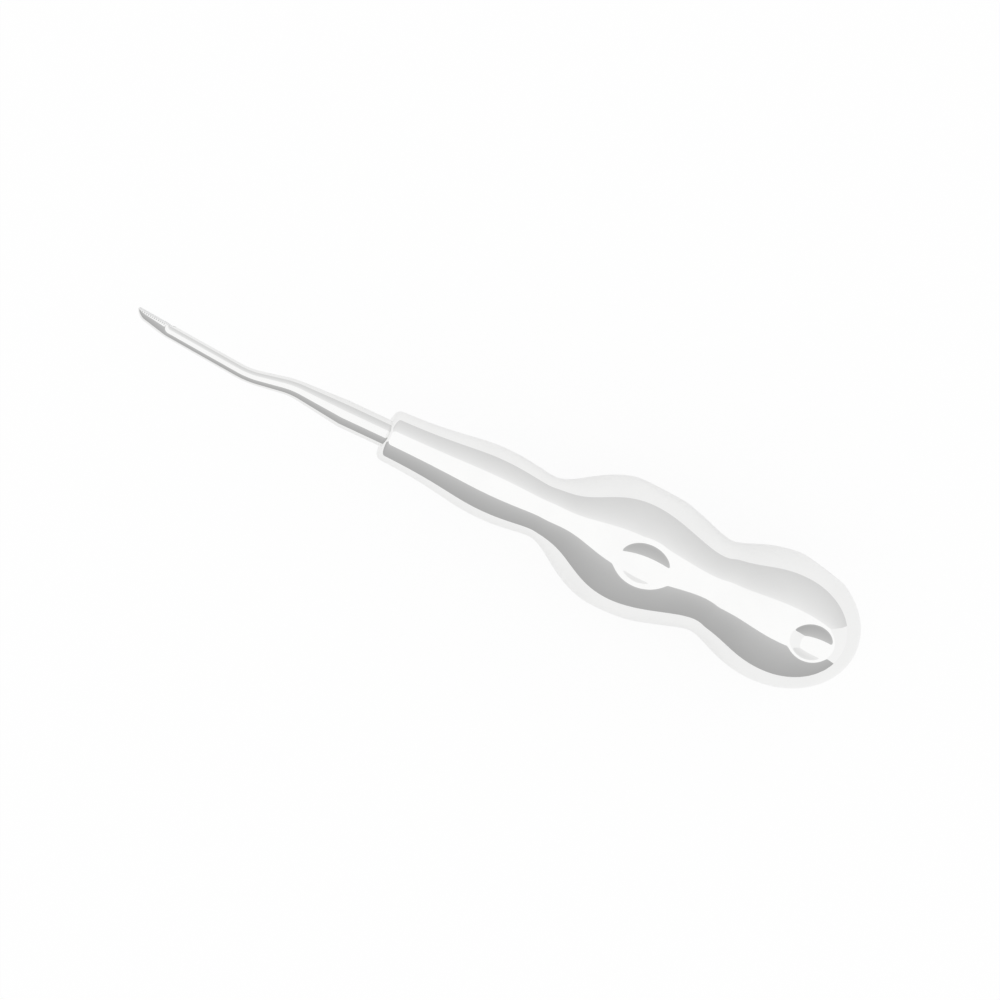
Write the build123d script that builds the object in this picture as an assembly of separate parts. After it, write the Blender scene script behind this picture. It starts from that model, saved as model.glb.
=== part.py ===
from build123d import *
import math
import os

# Dental elevator: a straight luxating elevator in polished stainless steel.
# A hollow handle, turned in plan and pressed with eight thumb dimples, carries one forged working
# end: a tang, a round stub, a tapered shank with a double bend, and a narrow flat blade with fine teeth
# along both long edges. It is modelled lying down, with its axis along X and the blade tip towards
# -X. Each swelling of the handle has a dimple on top, one underneath and one on either side.
# Sizes are millimetres. Stations along the handle are measured from its front face.

# Handle, lengthwise
front_to_swell = 23.9
swell_to_neck = 10.6
neck_to_belly = 20.2
belly_to_waist = 19.0
waist_to_pommel = 16.2
pommel_to_end = 17.7

# Handle, across
front_diameter = 10.5
swell_diameter = 15.0
neck_diameter = 13.1
belly_diameter = 28.2
waist_diameter = 20.4
pommel_diameter = 28.2

# Lengthwise radius of each swelling and hollow
swell_curve = 38.5
neck_curve = 5.4
belly_curve = 24.0
waist_curve = 5.0
pommel_curve = 26.5
front_flare_slope = 0.03
front_flare_reach = 14.0
front_rim_radius = 1.4

# Hollow of the handle
wall = 1.0
socket_depth = 18.0
socket_floor = 4.0
vent_diameter = 2.0

# Dimples: half sizes are those of the rim before it is rounded
dimples_round = 4
belly_dimple_behind_crest = 0.9
belly_dimple_half_length = 5.85
belly_dimple_half_width = 4.3
belly_dimple_depth = 1.9
belly_dimple_rim = 1.6
pommel_dimple_behind_crest = 3.8
pommel_dimple_half_length = 5.3
pommel_dimple_half_width = 3.75
pommel_dimple_depth = 1.75
pommel_dimple_rim = 0.7

# Working end: a round stub outside the handle and a tang inside it
stub_diameter = 5.6
stub_length = 9.2
tang_diameter = 5.2
tang_clearance = 0.02
tang_lead = 0.3

# Shank: three legs in the level plane, with the side step of each corner
taper_leg = 10.95
step_leg = 8.75
blade_leg = 24.1
knee_side = 0.45
heel_side = -1.22
tip_side = 0.68
bend_radius = 17.0
knee_diameter = 3.54
heel_diameter = 2.88
rod_diameter = 2.74

# Blade, measured back from the tip
blade_width = 3.4
blade_corner = 0.55
face_sink = 0.24
face_straight = 5.9
face_length = 8.0
rod_flat = 0.15
tip_thickness = 0.12
nose_length = 1.9
nose_height = 1.45
back_slope = 0.145

# Teeth along both long edges of the blade
tooth_count = 13
tooth_pitch = 0.42
tooth_depth = 0.28
notch_width = 0.32
first_tooth = 0.55

# A cubic whose handle is h long curves at its end with a radius of 1.5 h * h / rise
CUBIC_END = 1.5
# Handle length of the cubic that follows a quarter of an ellipse
QUARTER = 0.5523

swell_at = front_to_swell
neck_at = swell_at + swell_to_neck
belly_at = neck_at + neck_to_belly
waist_at = belly_at + belly_to_waist
pommel_at = waist_at + waist_to_pommel
handle_length = pommel_at + pommel_to_end
cavity_front = socket_depth + socket_floor
stub_radius = stub_diameter / 2
tang_radius = tang_diameter / 2
rod_radius = rod_diameter / 2
face_level = rod_radius - face_sink


# Handle outline

def cubic_reach(curve, rise):
    """Length of a cubic's level handle that gives its end the lengthwise radius curve."""
    return math.sqrt(curve * abs(rise) / CUBIC_END)


def wave(start, end):
    """Cubic between two level stations, each given as (station, radius, lengthwise radius)."""
    (x0, r0, curve0), (x1, r1, curve1) = start, end
    near = cubic_reach(curve0, r1 - r0)
    far = cubic_reach(curve1, r1 - r0)
    return Bezier((x0, r0), (x0 + near, r0), (x1 - far, r1), (x1, r1))


def stations(inset):
    """The swellings and hollows of the outline, moved inwards by inset."""
    return [
        (swell_at, swell_diameter / 2 - inset, swell_curve - inset),
        (neck_at, neck_diameter / 2 - inset, neck_curve + inset),
        (belly_at, belly_diameter / 2 - inset, belly_curve - inset),
        (waist_at, waist_diameter / 2 - inset, waist_curve + inset),
        (pommel_at, pommel_diameter / 2 - inset, pommel_curve - inset),
    ]


def waves(levels):
    """The cubics through a row of stations."""
    return [wave(start, end) for start, end in zip(levels, levels[1:])]


def dome(inset):
    """Quarter ellipse that closes the pommel on the axis."""
    radius = pommel_diameter / 2 - inset
    length = pommel_to_end - inset
    end = pommel_at + length
    return Bezier(
        (pommel_at, radius),
        (pommel_at + QUARTER * length, radius),
        (end, QUARTER * radius),
        (end, 0),
    )


def spin(curves):
    """Solid of revolution about X. Its seam is turned clear of the dimples."""
    profile = make_face(Curve() + curves)
    return Rot(X=180 / dimples_round) * revolve(profile, Axis.X)


def handle_blank():
    """The outside of the handle before the dimples are pressed."""
    levels = stations(0)
    swell = levels[0]
    radius = front_diameter / 2
    flare = Bezier(
        (0, radius),
        (front_flare_reach, radius + front_flare_slope * front_flare_reach),
        (swell[0] - cubic_reach(swell[2], swell[1] - radius), swell[1]),
        (swell[0], swell[1]),
    )
    face = Line((0, 0), (0, radius))
    axis = Line((handle_length, 0), (0, 0))
    blank = spin([face, flare] + waves(levels) + [dome(0), axis])
    rim = blank.edges().filter_by(GeomType.CIRCLE).sort_by(Axis.X)[0]
    return fillet(rim, front_rim_radius)


def cavity_blank():
    """The inside of the handle, one wall in from the outside, before the dimples."""
    levels = stations(wall)
    swell_radius = levels[0][1]
    floor = Line((cavity_front, 0), (cavity_front, swell_radius))
    barrel = Line((cavity_front, swell_radius), (swell_at, swell_radius))
    axis = Line((handle_length - wall, 0), (cavity_front, 0))
    return spin([floor, barrel] + waves(levels) + [dome(wall), axis])


# Dimples

def cut_radius(half, drop, depth):
    """Radius of the arc that sinks depth below a surface that itself drops away by drop."""
    sink = depth - drop
    return (half ** 2 + sink ** 2) / (2 * sink)


def sagitta(radius, half):
    """Height of an arc of that radius over a chord of that half length."""
    return radius - math.sqrt(radius ** 2 - half ** 2)


def dimple_form(radius, curve, half_length, half_width, depth, grow):
    """Barrel that presses one dimple, with its apex on Z below the surface, grown by grow."""
    girth = cut_radius(half_width, sagitta(radius, half_width), depth)
    arch = cut_radius(half_length, sagitta(curve, half_length), depth)
    floor = radius - depth
    axis_height = floor + girth
    end = half_length + 2 * depth
    end_height = floor + sagitta(arch, end) - grow
    arc = ThreePointArc((-end, end_height), (0, floor - grow), (end, end_height))
    sides = Polyline(
        (end, end_height),
        (end, axis_height),
        (-end, axis_height),
        (-end, end_height),
    )
    section = Plane.XZ * make_face(Curve() + [arc, sides])
    return revolve(section, Axis((0, 0, axis_height), (1, 0, 0)))


def pommel_radius_at(behind_crest):
    """Radius and slope angle of the closing dome at a station behind its crest."""
    radius = pommel_diameter / 2
    share = behind_crest / pommel_to_end
    height = radius * math.sqrt(1 - share ** 2)
    slope = radius * share / (pommel_to_end * math.sqrt(1 - share ** 2))
    return height, math.degrees(math.atan(slope))


def belly_dimples(grow):
    """The ring of dimples on the belly."""
    form = dimple_form(
        belly_diameter / 2,
        belly_curve,
        belly_dimple_half_length,
        belly_dimple_half_width,
        belly_dimple_depth,
        grow,
    )
    placed = Pos(X=belly_at + belly_dimple_behind_crest) * form
    return [Rot(X=360 * i / dimples_round) * placed for i in range(dimples_round)]


def pommel_dimples(grow):
    """The ring of dimples on the pommel, each square to the dome where it lies."""
    radius, lean = pommel_radius_at(pommel_dimple_behind_crest)
    form = dimple_form(
        radius,
        pommel_curve,
        pommel_dimple_half_length,
        pommel_dimple_half_width,
        pommel_dimple_depth,
        grow,
    )
    centred = Rot(Y=lean) * (Pos(Z=-radius) * form)
    placed = Pos(X=pommel_at + pommel_dimple_behind_crest, Z=radius) * centred
    return [Rot(X=360 * i / dimples_round) * placed for i in range(dimples_round)]


def rim_edges(body, station, half_length):
    """Edges of the dimple rims that lie round one station of the handle."""
    near = station - 1.5 * half_length
    far = station + 1.5 * half_length
    return [
        edge
        for edge in body.edges()
        if near < edge.bounding_box().min.X and edge.bounding_box().max.X < far
    ]


def handle():
    """The hollow handle with its socket for the tang."""
    body = handle_blank() - belly_dimples(0)
    belly_station = belly_at + belly_dimple_behind_crest
    body = fillet(rim_edges(body, belly_station, belly_dimple_half_length), belly_dimple_rim)
    body = body - pommel_dimples(0)
    pommel_station = pommel_at + pommel_dimple_behind_crest
    body = fillet(rim_edges(body, pommel_station, pommel_dimple_half_length), pommel_dimple_rim)
    cavity = cavity_blank() - belly_dimples(wall) - pommel_dimples(wall)
    socket_radius = tang_radius + tang_clearance
    from_front = (Align.CENTER, Align.CENTER, Align.MIN)
    socket = Rot(Y=90) * Cylinder(socket_radius, socket_depth, align=from_front)
    vent = Rot(Y=90) * Cylinder(vent_diameter / 2, cavity_front + wall, align=from_front)
    return body - cavity - socket - vent


# Shank

def shank_path():
    """Centre line from the end of the stub to the tip, three legs with round corners."""
    start = -stub_length
    knee = start - taper_leg
    heel = knee - step_leg
    tip = heel - blade_leg
    corners = [(start, 0), (knee, knee_side), (heel, heel_side), (tip, tip_side)]
    return FilletPolyline(*corners, radius=bend_radius)


def shank_radius(done, last):
    """Radius of the shank at a distance along its path, which ends at last."""
    marks = [
        (0, stub_radius),
        (taper_leg, knee_diameter / 2),
        (taper_leg + step_leg, heel_diameter / 2),
        (last, rod_radius),
    ]
    for (d0, r0), (d1, r1) in zip(marks, marks[1:]):
        if done <= d1:
            return r0 + (r1 - r0) * (done - d0) / (d1 - d0)
    return rod_radius


def across(point, direction):
    """Plane square to a direction in the level plane, with its y axis level and its x axis down."""
    level = Vector(0, 0, 1).cross(direction)
    return Plane(point, x_dir=level.cross(direction), z_dir=direction)


def shank(path, root):
    """Round shank from the stub to the root of the blade, root being measured from the tip."""
    last = path.length - root
    count = 15
    stops = [0, 0.2 * last / count] + [last * i / count for i in range(1, count + 1)]
    sections = []
    for done in stops:
        share = done / path.length
        direction = path % share if done else Vector(-1, 0, 0)
        plane = across(path @ share, direction)
        sections.append(plane * Circle(shank_radius(done, last)))
    return loft(sections)


# Blade, in its own frame: x back from the tip along the rod, y out of the face, z across

def blade_half_width(back):
    """Half width of the face at a distance behind the tip, with rounded corners."""
    half = blade_width / 2
    if back >= blade_corner:
        return half
    return half - blade_corner + math.sqrt(blade_corner ** 2 - (blade_corner - back) ** 2)


def blade_thickness(back):
    """Thickness under the face at a distance behind the tip."""
    share = min(back / nose_length, 1)
    nose = nose_height * (1 - (1 - share) ** 2) ** 0.7
    return min(tip_thickness + nose + back_slope * back, face_level + rod_radius)


def flat_topped_section(back, half_width, half_height, drop):
    """An ellipse with its middle drop below the face, cut off flat at the face."""
    start = 180 - math.degrees(math.asin(drop / half_height))
    turn = 2 * (270 - start)
    under = EllipticalCenterArc(
        (0, -drop), half_width, half_height, start_angle=start, arc_size=turn
    )
    top = Line(under @ 1, under @ 0)
    plane = Plane((back, face_level, 0), x_dir=(0, 0, 1), z_dir=(-1, 0, 0))
    return plane * make_face(Curve() + [under, top])


def blade_section(back):
    """Section of the blade: its widest level is the face itself."""
    return flat_topped_section(back, blade_half_width(back), blade_thickness(back), 0)


def flat_on_rod():
    """Half width of the face where it is cut into the round rod."""
    return math.sqrt(rod_radius ** 2 - face_level ** 2)


def blade_root():
    """Distance behind the tip where the blade has narrowed to the rod with a flat on it."""
    point = (face_length - face_straight) * flat_on_rod() / (blade_width / 2)
    return face_length - point - rod_flat


def blade():
    """The flat blade from its tip to its root."""
    count = 10
    backs = [nose_length * (1 - math.cos(math.pi / 2 * i / count)) for i in range(count + 1)]
    nose = loft([blade_section(back) for back in backs])
    body = loft([blade_section(nose_length), blade_section(face_straight)], ruled=True)
    rod = flat_topped_section(blade_root(), rod_radius, rod_radius, face_level)
    shoulder = loft([blade_section(face_straight), rod], ruled=True)
    return nose + body + shoulder


def face_run_out():
    """Cutter for the pointed end of the face on the rod."""
    plane = Plane((0, face_level, 0), x_dir=(1, 0, 0), z_dir=(0, 1, 0))
    half = blade_width / 2
    outline = Polyline(
        (face_straight, half),
        (face_length, 0),
        (face_straight, -half),
        close=True,
    )
    return extrude(plane * make_face(outline), rod_diameter)


def teeth():
    """Cutters for the notches between the teeth: small vees laid across both edges of the face."""
    half = blade_width / 2
    reach = 4 * tooth_depth
    cutters = []
    for side in (1, -1):
        plane = Plane((0, face_level, side * half), x_dir=(1, 0, 0), z_dir=(0, -1, side))
        outward = 1 if plane.y_dir.Y > 0 else -1
        for i in range(tooth_count):
            x = first_tooth + i * tooth_pitch
            notch = Polyline(
                (x, -outward * tooth_depth),
                (x + notch_width, outward * tooth_depth),
                (x - notch_width, outward * tooth_depth),
                close=True,
            )
            cutters.append(extrude(plane * make_face(notch), reach, both=True))
    return cutters


def working_end():
    """Tang, stub, shank and blade in one piece."""
    path = shank_path()
    tip = path @ 1
    back = (path % 1) * -1
    blade_frame = Plane(tip, x_dir=back, z_dir=(0, 0, 1))
    rod = shank(path, blade_root()) - blade_frame.location * face_run_out()
    flat = blade_frame.location * (blade() - teeth())
    along = (Align.CENTER, Align.CENTER, Align.MIN)
    stub = Pos(X=-stub_length) * Rot(Y=90) * Cylinder(stub_radius, stub_length, align=along)
    bar = Cylinder(tang_radius, socket_depth, align=along)
    lead = bar.edges().filter_by(GeomType.CIRCLE).sort_by(Axis.Z)[-1]
    tang = Rot(Y=90) * chamfer(lead, tang_lead)
    return tang + stub + rod + flat


# Output: the origin is under the middle of the instrument, on the surface that it lies on

def main():
    os.makedirs("parts", exist_ok=True)
    grip = handle()
    tool = working_end()
    middle = (tool.bounding_box().min.X + grip.bounding_box().max.X) / 2
    resting = Pos(X=-middle, Z=-grip.bounding_box().min.Z)
    export_step(resting * grip, "parts/handle.step")
    export_step(resting * tool, "parts/working_end.step")


main()
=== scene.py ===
"""Dental elevator: polished handle with eight thumb dimples, bent shank and fine-toothed blade."""

import math

import bmesh
import bpy
import numpy as np
from bpy.props import FloatProperty, FloatVectorProperty, IntProperty, PointerProperty
from mathutils import Matrix, Vector


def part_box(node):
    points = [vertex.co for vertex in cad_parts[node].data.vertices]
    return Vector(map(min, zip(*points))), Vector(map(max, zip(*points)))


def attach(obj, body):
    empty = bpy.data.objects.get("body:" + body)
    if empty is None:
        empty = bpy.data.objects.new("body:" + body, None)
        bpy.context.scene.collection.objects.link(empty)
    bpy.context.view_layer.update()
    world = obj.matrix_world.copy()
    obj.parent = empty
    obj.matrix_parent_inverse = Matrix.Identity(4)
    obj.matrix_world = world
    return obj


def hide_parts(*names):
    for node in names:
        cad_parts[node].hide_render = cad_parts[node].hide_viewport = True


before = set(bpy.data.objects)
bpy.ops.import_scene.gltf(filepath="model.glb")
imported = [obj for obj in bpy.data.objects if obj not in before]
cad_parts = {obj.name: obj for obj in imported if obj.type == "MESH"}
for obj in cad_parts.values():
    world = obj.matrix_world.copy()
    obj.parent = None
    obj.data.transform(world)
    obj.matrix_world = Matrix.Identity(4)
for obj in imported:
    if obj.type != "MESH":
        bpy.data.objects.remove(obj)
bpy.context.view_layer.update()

bl_info = {
    "name": "Dental elevator",
    "version": (1, 0, 0),
    "blender": (4, 5, 0),
    "location": "3D View > Sidebar > Elevator",
    "description": "Builds a dental elevator with a dimpled steel handle and a toothed blade",
    "category": "Add Mesh",
}

HANDLE_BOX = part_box("handle")
FRONT = HANDLE_BOX[0].x
AXIS_HEIGHT = (HANDLE_BOX[0].z + HANDLE_BOX[1].z) / 2

MM = 0.001
DIMPLES_ROUND = 4
CUBIC_END = 1.5
QUARTER = 0.5523


# Properties

def length(name, metres, description):
    """A length that the sidebar shows in the scene's unit."""
    return FloatProperty(
        name=name, description=description, default=metres, min=0.0, unit="LENGTH", precision=5
    )


def share(name, value, description, most=1.0):
    """A plain number from nought to most."""
    return FloatProperty(name=name, description=description, default=value, min=0.0, max=most)


def colour(name, value, description):
    """A colour as linear red, green and blue."""
    return FloatVectorProperty(
        name=name, description=description, default=value, size=3, subtype="COLOR", min=0.0, max=1.0
    )


class HandleSizes(bpy.types.PropertyGroup):
    """Sizes of the handle. Stations run back from its front face."""

    front_to_swell: length("Front to swell", 23.9 * MM, "Front face to the first swelling's crest")
    swell_to_neck: length("Swell to neck", 10.6 * MM, "First swelling's crest to the neck")
    neck_to_belly: length("Neck to belly", 20.2 * MM, "Neck to the belly's crest")
    belly_to_waist: length("Belly to waist", 19.0 * MM, "Belly's crest to the waist")
    waist_to_pommel: length("Waist to pommel", 16.2 * MM, "Waist to the pommel's crest")
    pommel_to_end: length("Pommel to end", 17.7 * MM, "Pommel's crest to the round end")
    front_radius: length("Front radius", 5.25 * MM, "Radius at the front face")
    swell_radius: length("Swell radius", 7.5 * MM, "Radius of the first swelling")
    neck_radius: length("Neck radius", 6.55 * MM, "Radius of the neck")
    belly_radius: length("Belly radius", 14.1 * MM, "Radius of the belly")
    waist_radius: length("Waist radius", 10.2 * MM, "Radius of the waist")
    pommel_radius: length("Pommel radius", 14.1 * MM, "Radius of the pommel")
    swell_curve: length("Swell curve", 38.5 * MM, "Lengthwise radius of the first swelling")
    neck_curve: length("Neck curve", 5.4 * MM, "Lengthwise radius of the neck")
    belly_curve: length("Belly curve", 24.0 * MM, "Lengthwise radius of the belly")
    waist_curve: length("Waist curve", 5.0 * MM, "Lengthwise radius of the waist")
    pommel_curve: length("Pommel curve", 26.5 * MM, "Lengthwise radius of the pommel")
    flare_slope: share("Flare slope", 0.03, "Slope of the barrel behind the front face")
    flare_reach: length("Flare reach", 14.0 * MM, "How far that slope carries")
    front_rim: length("Front rim", 1.4 * MM, "Radius of the rounded front rim")
    wall: length("Wall", 1.0 * MM, "Thickness of the steel")
    socket_radius: length("Socket radius", 2.62 * MM, "Radius of the socket for the tang")
    socket_depth: length("Socket depth", 18.0 * MM, "Depth of that socket")
    socket_floor: length("Socket floor", 4.0 * MM, "Steel between the socket and the hollow")
    vent_radius: length("Vent radius", 1.0 * MM, "Radius of the vent into the hollow")


class DimpleSizes(bpy.types.PropertyGroup):
    """Sizes of one ring of thumb dimples."""

    behind_crest: length("Behind crest", 0.9 * MM, "How far behind the crest the ring lies")
    half_length: length("Half length", 5.85 * MM, "Half length of the rim, before rounding")
    half_width: length("Half width", 4.3 * MM, "Half width of the rim, before rounding")
    depth: length("Depth", 1.9 * MM, "Depth below the surface")
    rim: length("Rim", 1.6 * MM, "Radius of the rounded rim")


class BladeSizes(bpy.types.PropertyGroup):
    """Sizes of the tang, stub, shank and blade."""

    tang_radius: length("Tang radius", 2.6 * MM, "Radius of the tang in the socket")
    tang_length: length("Tang length", 18.0 * MM, "Length of the tang behind the stub")
    tang_lead: length("Tang lead", 0.3 * MM, "Bevel at the tang's end")
    stub_radius: length("Stub radius", 2.8 * MM, "Radius of the stub")
    stub_length: length("Stub length", 9.2 * MM, "Length of the stub")
    taper_leg: length("Taper leg", 10.95 * MM, "Length of the tapered leg")
    step_leg: length("Step leg", 8.75 * MM, "Length of the leg between the bends")
    blade_leg: length("Blade leg", 24.1 * MM, "Length of the leg with the blade")
    knee_side: FloatProperty(
        name="Knee side", description="Side step of the first bend", default=0.45 * MM, unit="LENGTH"
    )
    heel_side: FloatProperty(
        name="Heel side", description="Side step of the second bend", default=-1.22 * MM, unit="LENGTH"
    )
    tip_side: FloatProperty(
        name="Tip side", description="Side step of the tip", default=0.68 * MM, unit="LENGTH"
    )
    bend_radius: length("Bend radius", 17.0 * MM, "Radius of both bends")
    knee_radius: length("Knee radius", 1.77 * MM, "Shank radius at the first bend")
    heel_radius: length("Heel radius", 1.44 * MM, "Shank radius at the second bend")
    rod_radius: length("Rod radius", 1.37 * MM, "Radius of the rod behind the blade")
    blade_width: length("Blade width", 3.4 * MM, "Width of the blade")
    blade_corner: length("Blade corner", 0.55 * MM, "Radius of the tip's corners")
    face_sink: length("Face sink", 0.24 * MM, "Depth of the face below the rod's surface")
    face_straight: length("Face straight", 5.9 * MM, "Length of the parallel part of the face")
    face_length: length("Face length", 8.0 * MM, "Length of the face with its point")
    rod_flat: length("Rod flat", 0.15 * MM, "Length of rod with a full flat on it")
    tip_thickness: length("Tip thickness", 0.12 * MM, "Thickness of the very tip")
    nose_length: length("Nose length", 1.9 * MM, "Length of the rounded nose")
    nose_height: length("Nose height", 1.45 * MM, "Thickness that the nose gains")
    back_slope: share("Back slope", 0.145, "Slope of the blade's back")
    tooth_count: IntProperty(name="Teeth", description="Notches on each edge", default=13, min=0)
    tooth_pitch: length("Tooth pitch", 0.42 * MM, "Distance from notch to notch")
    tooth_depth: length("Tooth depth", 0.28 * MM, "Depth of a notch")
    notch_width: length("Notch width", 0.32 * MM, "Width of a notch at the edge")
    first_tooth: length("First tooth", 0.55 * MM, "First notch's distance from the tip")


class SteelLook(bpy.types.PropertyGroup):
    """Finish of the steel."""

    handle_tint: colour("Handle tint", (0.90, 0.90, 0.895), "Colour of the mirror polish")
    shank_tint: colour("Shank tint", (0.88, 0.88, 0.875), "Colour of the shank")
    ground_tint: colour("Ground tint", (0.80, 0.80, 0.80), "Colour of the ground face")
    polish: share("Polish", 0.035, "Roughness of the mirror polish")
    smear: share("Smear", 0.03, "How much handling dulls the polish")
    grind: share("Grind", 0.30, "Roughness of the ground face")


class StudioLook(bpy.types.PropertyGroup):
    """Floor, light and camera."""

    floor_size: length("Floor size", 6.0, "Side of the floor")
    lens: FloatProperty(name="Lens", description="Focal length in millimetres", default=57.6)
    distance: length("Distance", 320 * MM, "Camera to the handle")
    panel_length: length("Panel length", 1.6, "Length of the soft panels beside the handle")


# Shader nodes

class Wire:
    """A node's output. Arithmetic on it adds Math nodes to the same board."""

    def __init__(self, board, node, output=0):
        self.board = board
        self.node = node
        self.socket = node.outputs[output] if node.outputs else None

    def out(self, output):
        return Wire(self.board, self.node, output)

    def __add__(self, other):
        return self.board.math("ADD", self, other)

    def __radd__(self, other):
        return self.board.math("ADD", other, self)

    def __sub__(self, other):
        return self.board.math("SUBTRACT", self, other)

    def __rsub__(self, other):
        return self.board.math("SUBTRACT", other, self)

    def __mul__(self, other):
        return self.board.math("MULTIPLY", self, other)

    def __rmul__(self, other):
        return self.board.math("MULTIPLY", other, self)


class Board:
    """A node tree that is being wired."""

    def __init__(self, tree):
        self.tree = tree
        tree.nodes.clear()

    def add(self, kind, settings=None, inputs=None):
        """Any node: its settings come first, then the values or wires of its sockets."""
        node = self.tree.nodes.new(kind)
        for name, value in (settings or {}).items():
            setattr(node, name, value)
        for key, value in (inputs or {}).items():
            if isinstance(value, Wire):
                self.tree.links.new(value.socket, node.inputs[key])
            else:
                node.inputs[key].default_value = value
        return Wire(self, node)

    def math(self, operation, *values):
        return self.add("ShaderNodeMath", {"operation": operation}, dict(enumerate(values)))

    def mix(self, factor, first, second):
        """Colour mix, where a plain colour is three numbers."""
        settings = {"data_type": "RGBA", "clamp_factor": True}
        solid = [c if isinstance(c, Wire) else (*c, 1) for c in (first, second)]
        wire = self.add("ShaderNodeMix", settings, {0: factor, 6: solid[0], 7: solid[1]})
        return wire.out(2)

    def step(self, value, low, high):
        """Smooth step from 0 at low to 1 at high."""
        settings = {"interpolation_type": "SMOOTHSTEP"}
        return self.add("ShaderNodeMapRange", settings, {0: value, 1: low, 2: high, 3: 0.0, 4: 1.0})


# Mesh building

def lathe_faces(rows, columns):
    """Quads between neighbouring rings of a closed tube, as corner numbers."""
    row = np.arange(rows - 1)[:, None] * columns
    here = np.arange(columns)[None]
    after = (here + 1) % columns
    return np.stack(
        [row + here, row + columns + here, row + columns + after, row + after], axis=-1
    ).reshape(-1, 4)


def closed_tube(name, rings, first_pole, last_pole, finish=None):
    """Mesh of a tube of rings, closed at each end by a fan on its pole.

    rings holds (row, column, xyz); finish gives a material number to each quad."""
    rows, columns, _ = rings.shape
    points = np.vstack([rings.reshape(-1, 3), [first_pole], [last_pole]])
    quads = lathe_faces(rows, columns)
    here = np.arange(columns)
    after = (here + 1) % columns
    last = (rows - 1) * columns
    start_fan = np.stack([np.full(columns, rows * columns), here, after], axis=-1)
    end_fan = np.stack([np.full(columns, rows * columns + 1), last + after, last + here], axis=-1)
    corners = np.concatenate([quads.ravel(), start_fan.ravel(), end_fan.ravel()])
    sizes = np.concatenate([np.full(len(quads), 4), np.full(2 * columns, 3)])
    mesh = bpy.data.meshes.new(name)
    mesh.vertices.add(len(points))
    mesh.vertices.foreach_set("co", points.ravel())
    mesh.loops.add(len(corners))
    mesh.loops.foreach_set("vertex_index", corners.astype(np.int32))
    mesh.polygons.add(len(sizes))
    starts = np.concatenate([[0], np.cumsum(sizes)[:-1]])
    mesh.polygons.foreach_set("loop_start", starts.astype(np.int32))
    mesh.polygons.foreach_set("use_smooth", np.ones(len(sizes), bool))
    if finish is not None:
        numbers = np.concatenate([finish.ravel(), np.zeros(2 * columns, int)])
        mesh.polygons.foreach_set("material_index", numbers.astype(np.int32))
    mesh.update(calc_edges=True)
    mesh.validate()
    return mesh


def place(mesh, crease_degrees, materials, node):
    """Links the finished mesh as a piece that stands for a node."""
    mesh.set_sharp_from_angle(angle=math.radians(crease_degrees))
    for material in materials:
        mesh.materials.append(material)
    piece = bpy.data.objects.new(mesh.name, mesh)
    bpy.context.scene.collection.objects.link(piece)
    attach(piece, "root")
    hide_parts(node)
    return piece


def tidy(mesh):
    """Merges doubled points, closes the pinholes that this leaves and drops flat faces."""
    work = bmesh.new()
    work.from_mesh(mesh)
    bmesh.ops.remove_doubles(work, verts=work.verts, dist=1e-7)
    bmesh.ops.dissolve_degenerate(work, dist=1e-7, edges=work.edges)
    bmesh.ops.holes_fill(work, edges=[edge for edge in work.edges if edge.is_boundary])
    flat = [face for face in work.faces if face.calc_area() < 1e-15]
    bmesh.ops.delete(work, geom=flat, context="FACES")
    work.to_mesh(mesh)
    work.free()


# Handle outline, as (station, radius)

def cubic(controls, count):
    """Cubic curve (1-t)^3 a + 3 (1-t)^2 t b + 3 (1-t) t^2 c + t^3 d at evenly spaced t."""
    t = np.linspace(0, 1, count)[:, None]
    a, b, c, d = (np.array(p, float) for p in controls)
    s = 1 - t
    return s ** 3 * a + 3 * s ** 2 * t * b + 3 * s * t ** 2 * c + t ** 3 * d


def reach(curve, rise):
    """Level handle of a cubic whose end curves with radius curve while it rises by rise."""
    return math.sqrt(curve * abs(rise) / CUBIC_END)


def levels(sizes, inset):
    """Station, radius and lengthwise radius of each swelling and hollow, moved in by inset."""
    swell = sizes.front_to_swell
    neck = swell + sizes.swell_to_neck
    belly = neck + sizes.neck_to_belly
    waist = belly + sizes.belly_to_waist
    pommel = waist + sizes.waist_to_pommel
    return [
        (swell, sizes.swell_radius - inset, sizes.swell_curve - inset),
        (neck, sizes.neck_radius - inset, sizes.neck_curve + inset),
        (belly, sizes.belly_radius - inset, sizes.belly_curve - inset),
        (waist, sizes.waist_radius - inset, sizes.waist_curve + inset),
        (pommel, sizes.pommel_radius - inset, sizes.pommel_curve - inset),
    ]


def waves(stations, count=1500):
    """Cubics from level to level: each leaves and arrives parallel to the axis."""
    curves = []
    for (x0, r0, curve0), (x1, r1, curve1) in zip(stations, stations[1:]):
        near, far = reach(curve0, r1 - r0), reach(curve1, r1 - r0)
        curves.append(cubic([(x0, r0), (x0 + near, r0), (x1 - far, r1), (x1, r1)], count))
    return curves


def dome(sizes, inset, count=2000):
    """Quarter ellipse that closes the pommel on the axis."""
    x, radius, _ = levels(sizes, inset)[-1]
    span = sizes.pommel_to_end - inset
    return cubic(
        [(x, radius), (x + QUARTER * span, radius), (x + span, QUARTER * radius), (x + span, 0)],
        count,
    )


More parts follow.
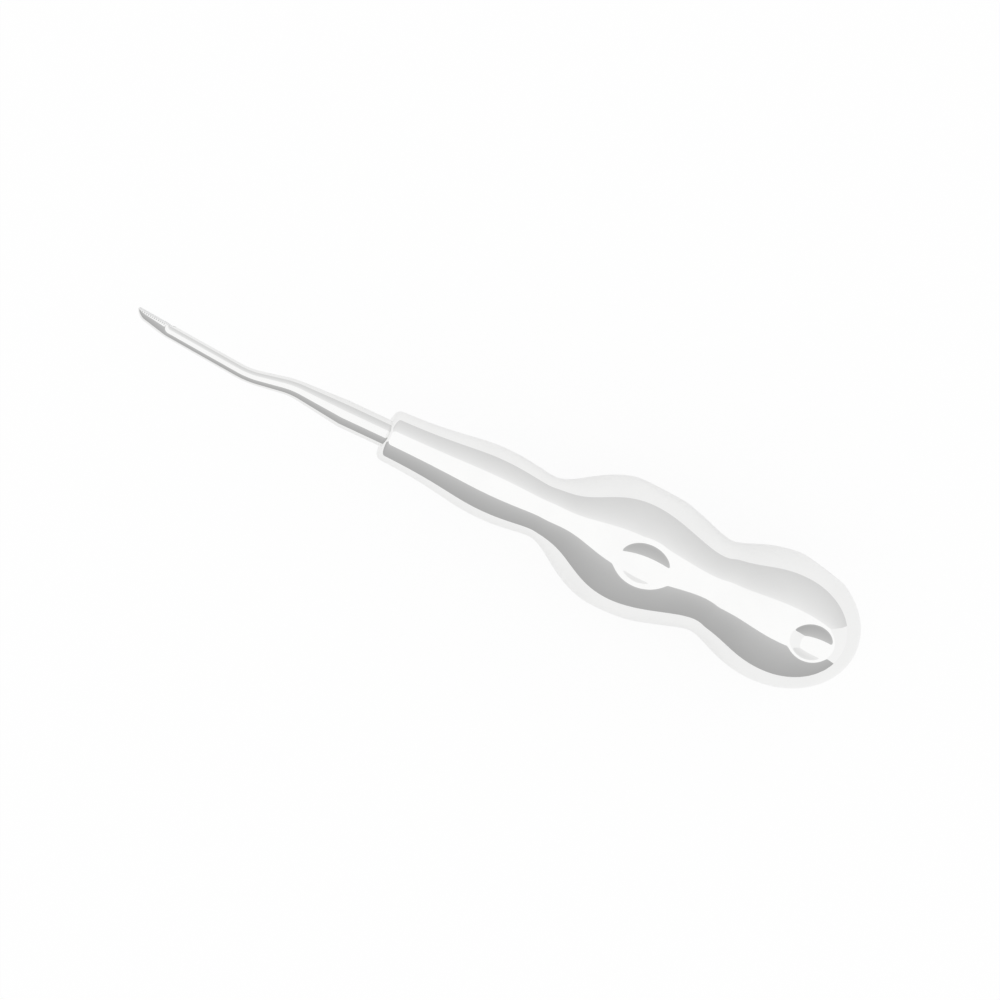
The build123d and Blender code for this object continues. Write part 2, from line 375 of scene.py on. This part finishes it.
def front_barrel(sizes):
    """Flared barrel with its rounded rim: a cubic, then an arc tangent to it and to the front face."""
    swell_x, swell_radius, swell_curve = levels(sizes, 0)[0]
    radius, run = sizes.front_radius, sizes.flare_reach
    flare = cubic(
        [
            (0, radius),
            (run, radius + sizes.flare_slope * run),
            (swell_x - reach(swell_curve, swell_radius - radius), swell_radius),
            (swell_x, swell_radius),
        ],
        3000,
    )
    slope = np.gradient(flare[:, 1], flare[:, 0])
    rim = sizes.front_rim
    inside = flare + rim * np.stack([slope, -np.ones_like(slope)], -1) / np.hypot(1, slope)[:, None]
    touch = int(np.searchsorted(inside[:, 0], rim))
    centre = inside[touch]
    turn = np.linspace(math.pi, math.pi / 2 + math.atan(slope[touch]), 400)
    arc = centre + rim * np.stack([np.cos(turn), np.sin(turn)], -1)
    return np.vstack([arc, flare[touch + 1:]])


def joined(curves):
    """One outline of several that start where the last one ends."""
    return np.vstack([curves[0], *[curve[1:] for curve in curves[1:]]])


def run_length(line):
    """Distance along a line of points."""
    return np.concatenate([[0], np.cumsum(np.hypot(*np.diff(line, axis=0).T))])


def outward(line):
    """Unit normals of an outline that runs towards +x, pointing away from the axis."""
    along = np.gradient(line, run_length(line), axis=0)
    along /= np.hypot(*along.T)[:, None]
    return np.stack([-along[:, 1], along[:, 0]], -1)


def graded(line, zones):
    """Rows of an outline whose spacing is each zone's own, blended at the zones' ends.

    The count of rows up to a point is the sum of length / spacing."""
    at = run_length(line)
    marks = [m for m, _ in zones]
    spacing = np.interp(line[:, 0], marks, [s for _, s in zones])
    dense = np.concatenate([[0], np.cumsum(np.diff(at) * 2 / (spacing[1:] + spacing[:-1]))])
    count = int(round(dense[-1]))
    where = np.interp(np.linspace(0, dense[-1], count + 1), dense, at)
    normals = outward(line)
    pick = lambda values: np.stack([np.interp(where, at, v) for v in values.T], -1)
    rows, facing = pick(line), pick(normals)
    return rows, facing / np.hypot(*facing.T)[:, None]


# Dimples

class Dimple:
    """A barrel pressed into the handle: its floor is an arc across and an arc along."""

    def __init__(self, sizes, station, radius, curve, lean, grow=0.0):
        self.station = station
        self.radius = radius
        self.lean = lean
        self.grow = grow
        self.depth = sizes.depth
        self.rim = sizes.rim if grow == 0 else 0.0
        self.girth = self.arc(sizes.half_width, radius, sizes.depth)
        self.arch = self.arc(sizes.half_length, curve, sizes.depth)
        self.axis_height = radius - sizes.depth + self.girth

    @staticmethod
    def arc(half, surface, depth):
        """Radius of an arc over the chord 2 half that ends on the surface and sinks depth."""
        sink = depth - (surface - math.sqrt(surface ** 2 - half ** 2))
        return (half ** 2 + sink ** 2) / (2 * sink)

    def inside(self, x, side, height):
        """Depth inside the barrel, and the direction in which it grows."""
        cos, sin = math.cos(self.lean), math.sin(self.lean)
        dx, dz = x - self.station, height - self.radius
        along = dx * cos - dz * sin
        up = dx * sin + dz * cos + self.radius
        across = np.hypot(side, up - self.axis_height) + 1e-12
        offset = across + self.arch - self.girth - self.grow
        away = np.hypot(along, offset) + 1e-12
        g_along = -along / away
        g_side = -offset / away * side / across
        g_up = -offset / away * (up - self.axis_height) / across
        gradient = (g_along * cos + g_up * sin, g_side, -g_along * sin + g_up * cos)
        return self.arch - away, gradient


def pressed_depth(rows, facing, angles, dimple):
    """How far each point moves in along its own normal to lie on the rounded dimple.

    With a the depth below the plain surface and b the depth inside the barrel, the rounded rim is
    where the point lies one rim radius from the line on which both are that radius."""
    x = rows[:, 0, None]
    radius = rows[:, 1, None]
    nx = facing[:, 0, None] + 0 * angles
    ny = facing[:, 1, None] * np.sin(angles)
    nz = facing[:, 1, None] * np.cos(angles)
    rim = max(dimple.rim, 1e-7)
    low = np.zeros_like(nx)
    high = np.full_like(nx, dimple.depth * 1.5)
    for _ in range(34):
        h = (low + high) / 2
        b, (gx, gy, gz) = dimple.inside(
            x - h * nx, radius * np.sin(angles) - h * ny, radius * np.cos(angles) - h * nz
        )
        together = nx * gx + ny * gy + nz * gz
        from_a, from_b = rim - h, rim + b
        between = (from_a > from_b * together) & (from_b > from_a * together)
        square = from_a ** 2 + from_b ** 2 - 2 * from_a * from_b * together
        apart = np.sqrt(np.maximum(square, 0) / np.maximum(1 - together ** 2, 1e-9)) - rim
        outside = np.where(between, apart, np.maximum(-h, b)) > 0
        low = np.where(outside, h, low)
        high = np.where(outside, high, h)
    return (low + high) / 2


def quarter_columns():
    """Column angles from -45 to just under +45 degrees round a dimple's middle."""
    half, fine, coarse = math.radians(24), 21, 9
    middle = np.linspace(-half, half, 2 * fine + 1)
    rest = half + (math.pi / 4 - half) * np.arange(1, coarse + 1) / coarse
    return np.concatenate([-rest[::-1], middle, rest[:-1]])


def pressed_rings(rows, facing, dimples):
    """Rings of the outline with every dimple pressed in, quarter after quarter."""
    quarter = quarter_columns()
    depth = np.zeros((len(rows), len(quarter)))
    for dimple in dimples:
        depth = np.maximum(depth, pressed_depth(rows, facing, quarter, dimple))
    turns = quarter[None] + np.arange(DIMPLES_ROUND)[:, None] * math.pi / 2
    angles = turns.ravel()
    depth = np.tile(depth, DIMPLES_ROUND)
    x = rows[:, 0, None] - depth * facing[:, 0, None]
    radius = rows[:, 1, None] - depth * facing[:, 1, None]
    return np.stack([x, radius * np.sin(angles), radius * np.cos(angles)], -1)


def plain_rings(rows):
    """Rings of an outline with no dimples, on the same columns."""
    return pressed_rings(np.array(rows, float), np.tile([0.0, 1.0], (len(rows), 1)), [])


def handle_dimples(sizes, belly, pommel, grow):
    """The belly's dimple, and the pommel's, which leans square to the dome where it lies."""
    stations = levels(sizes, 0)
    belly_at, belly_radius, belly_curve = stations[2]
    pommel_at, pommel_radius, pommel_curve = stations[4]
    along = pommel.behind_crest / sizes.pommel_to_end
    height = pommel_radius * math.sqrt(1 - along ** 2)
    slope = pommel_radius * along / (sizes.pommel_to_end * math.sqrt(1 - along ** 2))
    return [
        Dimple(belly, belly_at + belly.behind_crest, belly_radius, belly_curve, 0.0, grow),
        Dimple(pommel, pommel_at + pommel.behind_crest, height, pommel_curve, math.atan(slope), grow),
    ]


def handle_mesh(sizes, belly, pommel):
    """The hollow handle: rings from the hollow's rear pole forward, out of the socket, over the
    front rim and back over the outside to the round end."""
    hollow_front = sizes.socket_depth + sizes.socket_floor
    inner = levels(sizes, sizes.wall)
    hollow = joined([*waves(inner), dome(sizes, sizes.wall)])
    hollow_zones = [(0, 2.2 * MM), (0.2, 2.2 * MM)]
    hollow_rows, hollow_facing = graded(hollow, hollow_zones)
    grown = handle_dimples(sizes, belly, pommel, sizes.wall)
    inside = pressed_rings(hollow_rows[:-1], hollow_facing[:-1], grown)[::-1]
    passage = plain_rings([
        (hollow_front, inner[0][1]),
        (hollow_front, sizes.vent_radius),
        (sizes.socket_depth, sizes.vent_radius),
        (sizes.socket_depth, sizes.socket_radius),
        (sizes.socket_depth / 2, sizes.socket_radius),
        (0, sizes.socket_radius),
    ])
    skin = joined([front_barrel(sizes), *waves(levels(sizes, 0)), dome(sizes, 0)])
    zones = [
        (0.0, 0.17), (0.0014, 0.2), (0.003, 0.8), (0.028, 0.8), (0.031, 0.42), (0.044, 0.42),
        (0.0465, 0.21), (0.0645, 0.21), (0.067, 0.45), (0.083, 0.45), (0.0862, 0.2),
        (0.1000, 0.2), (0.1025, 0.5), (0.1076, 0.5),
    ]
    skin_rows, skin_facing = graded(skin, [(at, spacing * MM) for at, spacing in zones])
    outside = pressed_rings(skin_rows[:-1], skin_facing[:-1], handle_dimples(sizes, belly, pommel, 0))
    rings = np.concatenate([inside, passage, outside])
    place_at = np.array([FRONT, 0, AXIS_HEIGHT])
    end = sizes.pommel_to_end + levels(sizes, 0)[-1][0]
    poles = [np.array([end - sizes.wall, 0, 0]), np.array([end, 0, 0])]
    return closed_tube("handle_grip", rings + place_at, poles[0] + place_at, poles[1] + place_at)


# Working end

def bent_line(corners, radius):
    """Straight legs joined by arcs of one radius, as dense distances, headings and points.

    The heading is constant along a leg and turns evenly along an arc, and each point is the
    running sum of the steps before it."""
    corners = np.array(corners, float)
    legs = np.diff(corners, axis=0)
    headings = np.unwrap(np.arctan2(legs[:, 1], legs[:, 0]))
    turns = np.diff(headings)
    cuts = radius * np.tan(np.abs(turns) / 2)
    spans = np.hypot(*legs.T)
    marks, angles = [0.0], [headings[0]]
    for i, turn in enumerate(turns):
        straight = spans[i] - cuts[i] - (cuts[i - 1] if i else 0)
        marks += [marks[-1] + straight, marks[-1] + straight + radius * abs(turn)]
        angles += [headings[i], headings[i + 1]]
    marks.append(marks[-1] + spans[-1] - cuts[-1])
    angles.append(headings[-1])
    at = np.linspace(0, marks[-1], 20001)
    heading = np.interp(at, marks, angles)
    step = np.diff(at)[:, None]
    middle = (heading[1:] + heading[:-1]) / 2
    moved = np.cumsum(step * np.stack([np.cos(middle), np.sin(middle)], -1), axis=0)
    points = corners[0] + np.vstack([[0, 0], moved])
    return at, heading, points


def shank_radius(sizes, done, last):
    """Radius along the shank: straight tapers between marks, each eased over a short stretch."""
    marks = np.array([0, sizes.taper_leg, sizes.taper_leg + sizes.step_leg, last])
    radii = np.array([sizes.stub_radius, sizes.knee_radius, sizes.heel_radius, sizes.rod_radius])
    slope = (radii[1] - radii[0]) / (marks[1] - marks[0])
    ease = 2.5 * MM
    fine = np.linspace(-ease, last + ease, 8001)
    plain = np.interp(fine, marks, radii)
    plain = np.where(fine < 0, radii[0] + slope * fine, plain)
    total = np.concatenate([[0], np.cumsum((plain[1:] + plain[:-1]) / 2 * np.diff(fine))])
    half = ease * np.clip(np.minimum(done, last - done + ease) / ease, 0.02, 1)
    return (np.interp(done + half, fine, total) - np.interp(done - half, fine, total)) / (2 * half)


FACE_STEPS, EDGE_STEPS, UNDER_STEPS = 9, 4, 35


def half_steps(face, edge, under):
    """Joins the three stretches of half a section, from the face's middle to the back's middle."""
    return np.concatenate([face, edge[:, 1:], under[:, 1:]], axis=1)


def between(start, end, steps):
    """Straight stretch from start to end, as (row, step, xy)."""
    t = np.linspace(0, 1, steps + 1)[None, :, None]
    return start[:, None] * (1 - t) + end[:, None] * t


def pair(height, side):
    """Height and side as points, where either may be one number."""
    return np.stack([height + 0 * side, side + 0 * height], -1)


def notch_cut(sizes, back):
    """How far the notches' slanted planes cut in from the edge: a row of vees."""
    reach_in = np.zeros_like(back)
    for i in range(sizes.tooth_count):
        off = np.abs(back - sizes.first_tooth - i * sizes.tooth_pitch)
        reach_in = np.maximum(reach_in, sizes.tooth_depth * (1 - 2 * off / sizes.notch_width))
    return reach_in


def blade_sections(sizes, back):
    """Half sections of the blade: a flat face, the cut across the edge and half an ellipse.

    The ellipse's half axes are the half width and the thickness, and the cut at 45 degrees
    meets it where its own quadratic says."""
    level = sizes.rod_radius - sizes.face_sink
    half, corner = sizes.blade_width / 2, sizes.blade_corner
    inset = np.maximum(corner - back, 0)
    width = half - corner + np.sqrt(corner ** 2 - inset ** 2)
    rise = np.minimum(back / sizes.nose_length, 1)
    nose = sizes.nose_height * (1 - (1 - rise) ** 2) ** 0.7
    thick = sizes.tip_thickness + nose + sizes.back_slope * back
    thick = np.minimum(thick, level + sizes.rod_radius)
    edge = np.minimum(width, half - math.sqrt(2) * notch_cut(sizes, back))
    square = 1 / width ** 2 + 1 / thick ** 2
    linear = edge / width ** 2
    rest = np.minimum(edge ** 2 / width ** 2 - 1, 0)
    down = (np.sqrt(linear ** 2 - square * rest) - linear) / square
    start = np.arcsin(np.clip(down / thick, 0, 1))
    t = np.linspace(0, 1, UNDER_STEPS + 1)[None]
    angle = start[:, None] * (1 - t) + math.pi / 2 * t
    under = np.stack([level - thick[:, None] * np.sin(angle), width[:, None] * np.cos(angle)], -1)
    face = between(pair(level, 0 * edge), pair(level, edge), FACE_STEPS)
    cut = between(pair(level, edge), under[:, 0], EDGE_STEPS)
    return half_steps(face, cut, under)


def rod_sections(sizes, radius, half_face):
    """Half sections of the rod with the pointed end of the face sunk into it."""
    level = sizes.rod_radius - sizes.face_sink
    start = np.arcsin(np.clip(half_face / radius, 0, 1))
    t = np.linspace(0, 1, UNDER_STEPS + 1)[None]
    angle = start[:, None] * (1 - t) + math.pi * t
    under = radius[:, None, None] * np.stack([np.cos(angle), np.sin(angle)], -1)
    face = between(pair(level, 0 * half_face), pair(level, half_face), FACE_STEPS)
    return half_steps(face, between(pair(level, half_face), under[:, 0], EDGE_STEPS), under)


def round_sections(radius, opened):
    """Half sections of the round shank. At opened 0 the face's steps lie together at the top."""
    count = FACE_STEPS + EDGE_STEPS
    even = math.pi * np.arange(count + UNDER_STEPS + 1) / (count + UNDER_STEPS)
    shut = np.concatenate([np.zeros(count), math.pi * np.arange(UNDER_STEPS + 1) / UNDER_STEPS])
    angle = even[None] * opened[:, None] + shut[None] * (1 - opened[:, None])
    return radius[:, None, None] * np.stack([np.cos(angle), np.sin(angle)], -1)


def blade_backs(sizes):
    """Distances behind the tip for the blade's rows: close at the nose and at every notch."""
    turn = np.linspace(0, math.pi / 2, 15)
    nose = sizes.nose_length * (1 - np.cos(turn))
    corner = sizes.blade_corner * (1 - np.cos(turn))
    teeth = sizes.first_tooth + sizes.tooth_pitch * np.arange(sizes.tooth_count)[:, None]
    teeth = (teeth + sizes.notch_width / 2 * np.linspace(-1, 1, 7)[None]).ravel()
    rest = np.linspace(sizes.nose_length, sizes.face_straight, 12)
    rows = np.unique(np.round(np.concatenate([nose, corner, teeth, rest]), 7))
    key = np.round(np.concatenate([teeth, [0, sizes.face_straight]]), 7)
    keep = np.array([i == 0 or v in key or np.abs(key - v).min() > 15e-6 for i, v in enumerate(rows)])
    rows = rows[keep]
    return rows[np.concatenate([[True], np.diff(rows) > 4e-6])]


def sweep(sections, line, back):
    """Carries whole sections, height out of the face and side up, along the bent line."""
    at, heading, points = line
    done = at[-1] - back
    x, y = (np.interp(done, at, points[:, i]) for i in range(2))
    angle = np.interp(done, at, heading)
    whole = np.concatenate([sections, (sections * [1, -1])[:, -2:0:-1]], axis=1)
    height, side = whole[..., 0], whole[..., 1]
    out_x, out_y = np.sin(angle)[:, None], -np.cos(angle)[:, None]
    return np.stack([x[:, None] + out_x * height, y[:, None] + out_y * height, side], -1)


def working_end_mesh(sizes):
    """Tang, stub, shank and blade as one tube from the tang's end to the tip."""
    start = -sizes.stub_length
    knee = start - sizes.taper_leg
    heel = knee - sizes.step_leg
    corners = [
        (start, 0), (knee, sizes.knee_side), (heel, sizes.heel_side),
        (heel - sizes.blade_leg, sizes.tip_side),
    ]
    line = bent_line(corners, sizes.bend_radius)
    whole = line[0][-1]
    half, level = sizes.blade_width / 2, sizes.rod_radius - sizes.face_sink
    flat = math.sqrt(sizes.rod_radius ** 2 - level ** 2)
    point = sizes.face_length - sizes.face_straight
    flush = sizes.face_length - point * flat / half
    root = flush - sizes.rod_flat
    last = whole - root

    def radius_at(back):
        return shank_radius(sizes, whole - back, last)

    edge_turn = 0.05 * MM
    shank_backs = np.concatenate([
        [whole, whole - edge_turn],
        np.linspace(whole - 0.4 * MM, sizes.face_length + 1.5 * MM, 80),
        sizes.face_length + 1.5 * MM * np.linspace(0.88, 0, 9),
    ])
    opened = np.clip((shank_backs - sizes.face_length) / (1.5 * MM), 0, 1)
    shank = sweep(round_sections(radius_at(shank_backs), opened), line, shank_backs)

    point_backs = np.linspace(sizes.face_length, flush, 9)
    point_half = half * (sizes.face_length - point_backs) / point
    point_half[-1] = flat
    pointed = sweep(rod_sections(sizes, radius_at(point_backs), point_half), line, point_backs)

    blade_back = blade_backs(sizes)[::-1]
    blade = blade_sections(sizes, blade_back)
    root_half = rod_sections(sizes, np.array([sizes.rod_radius]), np.array([flat]))
    mix = np.linspace(0, 1, 10)[:-1, None, None]
    shoulder_backs = root + (sizes.face_straight - root) * mix[:, 0, 0]
    shoulder = sweep(root_half * (1 - mix) + blade[:1] * mix, line, shoulder_backs)
    blade_rings = sweep(blade, line, blade_back)

    def collar(x, radius):
        rows = np.array(x, float)
        ring = round_sections(np.array(radius, float), np.ones(len(rows)))
        whole_ring = np.concatenate([ring, (ring * [1, -1])[:, -2:0:-1]], axis=1)
        return np.stack([rows[:, None] + 0 * whole_ring[..., 0], whole_ring[..., 0], whole_ring[..., 1]], -1)

    tang, stub, lead = sizes.tang_radius, sizes.stub_radius, sizes.tang_lead
    depth = sizes.tang_length
    bars = collar(
        [depth, depth - lead, depth / 2, 0, 0, start / 3, start * 2 / 3, start + edge_turn],
        [tang - lead, tang, tang, tang, stub, stub, stub, stub],
    )
    rings = np.concatenate([bars, shank, pointed, shoulder, blade_rings])
    rows, columns = rings.shape[:2]
    finish = np.zeros((rows - 1, columns), int)
    first_face = len(bars) + len(shank)
    finish[first_face:, :FACE_STEPS] = 1
    finish[first_face:, -FACE_STEPS:] = 1
    place_at = np.array([FRONT, 0, AXIS_HEIGHT])
    tip = rings[-1].mean(axis=0)
    mesh = closed_tube(
        "blade_and_shank", rings + place_at, np.array([depth, 0, 0]) + place_at, tip + place_at, finish
    )
    tidy(mesh)
    return mesh


# Materials

def new_board(name):
    """A material and the board on which its nodes are wired."""
    material = bpy.data.materials.new(name)
    material.use_nodes = True
    return material, Board(material.node_tree)


def close_board(board, shader):
    """Wires the shader to the material's output."""
    board.add("ShaderNodeOutputMaterial", {}, {"Surface": shader})


def mirror_polish(name, tint, look):
    """Mirror-polished steel: faint cloudy smears and hair-fine buffing lines in the gloss."""
    material, board = new_board(name)
    place_in = board.add("ShaderNodeTexCoord").out("Object")
    cloud = board.add(
        "ShaderNodeTexNoise", {}, {"Vector": place_in, "Scale": 90.0, "Detail": 3.0, "Roughness": 0.55}
    )
    stretched = board.add(
        "ShaderNodeMapping", {}, {"Vector": place_in, "Scale": (300.0, 5000.0, 5000.0)}
    )
    hair = board.add("ShaderNodeTexNoise", {}, {"Vector": stretched, "Scale": 1.0, "Detail": 2.0})
    rough = look.polish + look.smear * board.step(cloud, 0.42, 0.75) + 0.006 * hair
    dull = board.mix(board.step(cloud, 0.35, 0.8), tint, [0.975 * c for c in tint])
    shader = board.add(
        "ShaderNodeBsdfPrincipled",
        {},
        {"Base Color": dull, "Metallic": 1.0, "Roughness": rough},
    )
    close_board(board, shader)
    return material


def ground_face(name, tint, look):
    """Ground steel: fine lines across the blade and a soft sheen."""
    material, board = new_board(name)
    place_in = board.add("ShaderNodeTexCoord").out("Object")
    lines_at = board.add(
        "ShaderNodeMapping", {}, {"Vector": place_in, "Scale": (9000.0, 900.0, 700.0)}
    )
    lines = board.add("ShaderNodeTexNoise", {}, {"Vector": lines_at, "Scale": 1.0, "Detail": 3.0})
    rough = look.grind + 0.12 * (lines - 0.5)
    shade = board.mix(board.step(lines, 0.3, 0.7), [0.88 * c for c in tint], tint)
    bump = board.add(
        "ShaderNodeBump", {}, {"Strength": 0.25, "Distance": 0.00002, "Height": lines}
    )
    shader = board.add(
        "ShaderNodeBsdfPrincipled",
        {},
        {"Base Color": shade, "Metallic": 1.0, "Roughness": rough, "Normal": bump},
    )
    close_board(board, shader)
    return material


# Stage

# Soft panels along the handle: name, its two long edges as (y, z) in metres, glow at each edge
PANELS = [
    ("grey_side", (-0.25, 0.0), (-0.25, 0.47), 0.46, 0.62),
    ("lit_top", (-0.25, 0.47), (0.30, 0.47), 1.08, 1.08),
    ("pale_side", (0.30, 0.47), (0.30, 0.0), 0.94, 0.74),
]


def build_panels(look):
    """Plain soft studio light for the gloss: a grey side, a lit top and a pale side."""
    end = look.panel_length / 2
    for name, (y0, z0), (y1, z1), first, second in PANELS:
        mesh = bpy.data.meshes.new(name)
        corners = [(-end, y0, z0), (end, y0, z0), (end, y1, z1), (-end, y1, z1)]
        mesh.from_pydata(corners, [], [(0, 1, 2, 3)])
        values = [first, first, second, second]
        mesh.attributes.new("glow", "FLOAT", "POINT").data.foreach_set("value", values)
        panel = bpy.data.objects.new(name, mesh)
        bpy.context.scene.collection.objects.link(panel)
        material, board = new_board(name)
        lit = board.add("ShaderNodeAttribute", {"attribute_name": "glow"}).out("Fac")
        close_board(board, board.add("ShaderNodeEmission", {}, {"Color": (1, 1, 1, 1), "Strength": lit}))
        mesh.materials.append(material)
        for rays in ("camera", "diffuse", "transmission", "volume_scatter", "shadow"):
            setattr(panel, "visible_" + rays, False)


def build_world():
    """A plain white room."""
    world = bpy.data.worlds.new("studio")
    world.use_nodes = True
    bpy.context.scene.world = world
    board = Board(world.node_tree)
    background = board.add("ShaderNodeBackground", {}, {"Color": (1, 1, 1, 1), "Strength": 1.0})
    board.add("ShaderNodeOutputWorld", {}, {"Surface": background})


def build_floor(look):
    """Plain pale floor."""
    half = look.floor_size / 2
    mesh = bpy.data.meshes.new("floor")
    corners = [(-half, -half, 0), (half, -half, 0), (half, half, 0), (-half, half, 0)]
    mesh.from_pydata(corners, [], [(0, 1, 2, 3)])
    floor = bpy.data.objects.new("floor", mesh)
    bpy.context.scene.collection.objects.link(floor)
    material, board = new_board("floor_paper")
    paper = board.add("ShaderNodeBsdfDiffuse", {}, {"Color": (0.95, 0.95, 0.95, 1)})
    seen = board.add("ShaderNodeLightPath")
    unlit = 0.9 * (seen.out("Is Camera Ray") + seen.out("Is Transmission Ray"))
    plain = unlit + 0.4 * seen.out("Is Glossy Ray")
    glow = board.add("ShaderNodeEmission", {}, {"Color": (1, 1, 1, 1), "Strength": 1.0})
    mixed = board.add("ShaderNodeMixShader", {}, {0: plain, 1: paper, 2: glow})
    close_board(board, mixed)
    mesh.materials.append(material)


TOWARD_CAMERA = (-0.1788, 0.1471, 0.9728)
CAMERA_ROLL = 25
AIM_BEHIND_FRONT = 26.38 * MM
AIM_ACROSS = 2.4 * MM


def build_camera(look):
    """Camera at the photograph's angle: looking down, a little from the front and from the side."""
    toward = Vector(TOWARD_CAMERA).normalized()
    along = (Vector((1, 0, 0)) - toward * toward.x).normalized()
    across = along.cross(toward)
    turn = math.radians(CAMERA_ROLL)
    right = along * math.cos(turn) - across * math.sin(turn)
    down = along * math.sin(turn) + across * math.cos(turn)
    target = Vector((FRONT + AIM_BEHIND_FRONT, 0, AXIS_HEIGHT)) + across * AIM_ACROSS
    camera = bpy.data.objects.new("camera", bpy.data.cameras.new("camera"))
    camera.data.lens = look.lens
    camera.data.sensor_width = 36.0
    camera.data.clip_start = 0.01
    camera.data.clip_end = 50.0
    basis = Matrix((right, -down, toward)).transposed().to_4x4()
    camera.matrix_world = Matrix.Translation(target + toward * look.distance) @ basis
    bpy.context.scene.collection.objects.link(camera)
    bpy.context.scene.camera = camera


# Operators

class ELEVATOR_OT_handle(bpy.types.Operator):
    """Build the hollow handle with its two rings of dimples"""

    bl_idname = "elevator.handle"
    bl_label = "Handle"

    def execute(self, context):
        scene = context.scene
        look = scene.elevator_steel
        mesh = handle_mesh(scene.elevator_handle, scene.elevator_belly, scene.elevator_pommel)
        polish = mirror_polish("handle_polish", tuple(look.handle_tint), look)
        place(mesh, 40, [polish], "handle")
        return {"FINISHED"}


class ELEVATOR_OT_working_end(bpy.types.Operator):
    """Build the tang, stub, shank and toothed blade"""

    bl_idname = "elevator.working_end"
    bl_label = "Shank and blade"

    def execute(self, context):
        scene = context.scene
        look = scene.elevator_steel
        mesh = working_end_mesh(scene.elevator_blade)
        polish = mirror_polish("shank_polish", tuple(look.shank_tint), look)
        ground = ground_face("blade_ground", tuple(look.ground_tint), look)
        place(mesh, 28, [polish, ground], "working_end")
        return {"FINISHED"}


class ELEVATOR_OT_studio(bpy.types.Operator):
    """Set the floor, the light and the camera"""

    bl_idname = "elevator.studio"
    bl_label = "Studio"

    def execute(self, context):
        look = context.scene.elevator_studio
        context.scene.view_settings.view_transform = "Standard"
        build_world()
        build_floor(look)
        build_panels(look)
        build_camera(look)
        return {"FINISHED"}


class ELEVATOR_PT_panel(bpy.types.Panel):
    """The elevator's sizes, finishes and pieces"""

    bl_idname = "ELEVATOR_PT_panel"
    bl_label = "Dental elevator"
    bl_space_type = "VIEW_3D"
    bl_region_type = "UI"
    bl_category = "Elevator"

    def draw(self, context):
        column = self.layout.column()
        for operator in OPERATORS:
            column.operator(operator.bl_idname)
        for name in GROUPS:
            group = getattr(context.scene, name)
            box = self.layout.box()
            for key in group.__annotations__:
                box.prop(group, key)


OPERATORS = (ELEVATOR_OT_handle, ELEVATOR_OT_working_end, ELEVATOR_OT_studio)
GROUPS = {
    "elevator_handle": HandleSizes,
    "elevator_belly": DimpleSizes,
    "elevator_pommel": DimpleSizes,
    "elevator_blade": BladeSizes,
    "elevator_steel": SteelLook,
    "elevator_studio": StudioLook,
}
CLASSES = (HandleSizes, DimpleSizes, BladeSizes, SteelLook, StudioLook, *OPERATORS, ELEVATOR_PT_panel)


def register():
    for entry in CLASSES:
        bpy.utils.register_class(entry)
    for name, group in GROUPS.items():
        setattr(bpy.types.Scene, name, PointerProperty(type=group))


def unregister():
    for name in GROUPS:
        delattr(bpy.types.Scene, name)
    for entry in reversed(CLASSES):
        bpy.utils.unregister_class(entry)


def main():
    register()
    pommel = bpy.context.scene.elevator_pommel
    pommel.behind_crest = 3.8 * MM
    pommel.half_length = 5.3 * MM
    pommel.half_width = 3.75 * MM
    pommel.depth = 1.75 * MM
    pommel.rim = 0.7 * MM
    for operator in (bpy.ops.elevator.handle, bpy.ops.elevator.working_end, bpy.ops.elevator.studio):
        operator()


if __name__ == "__main__":
    main()
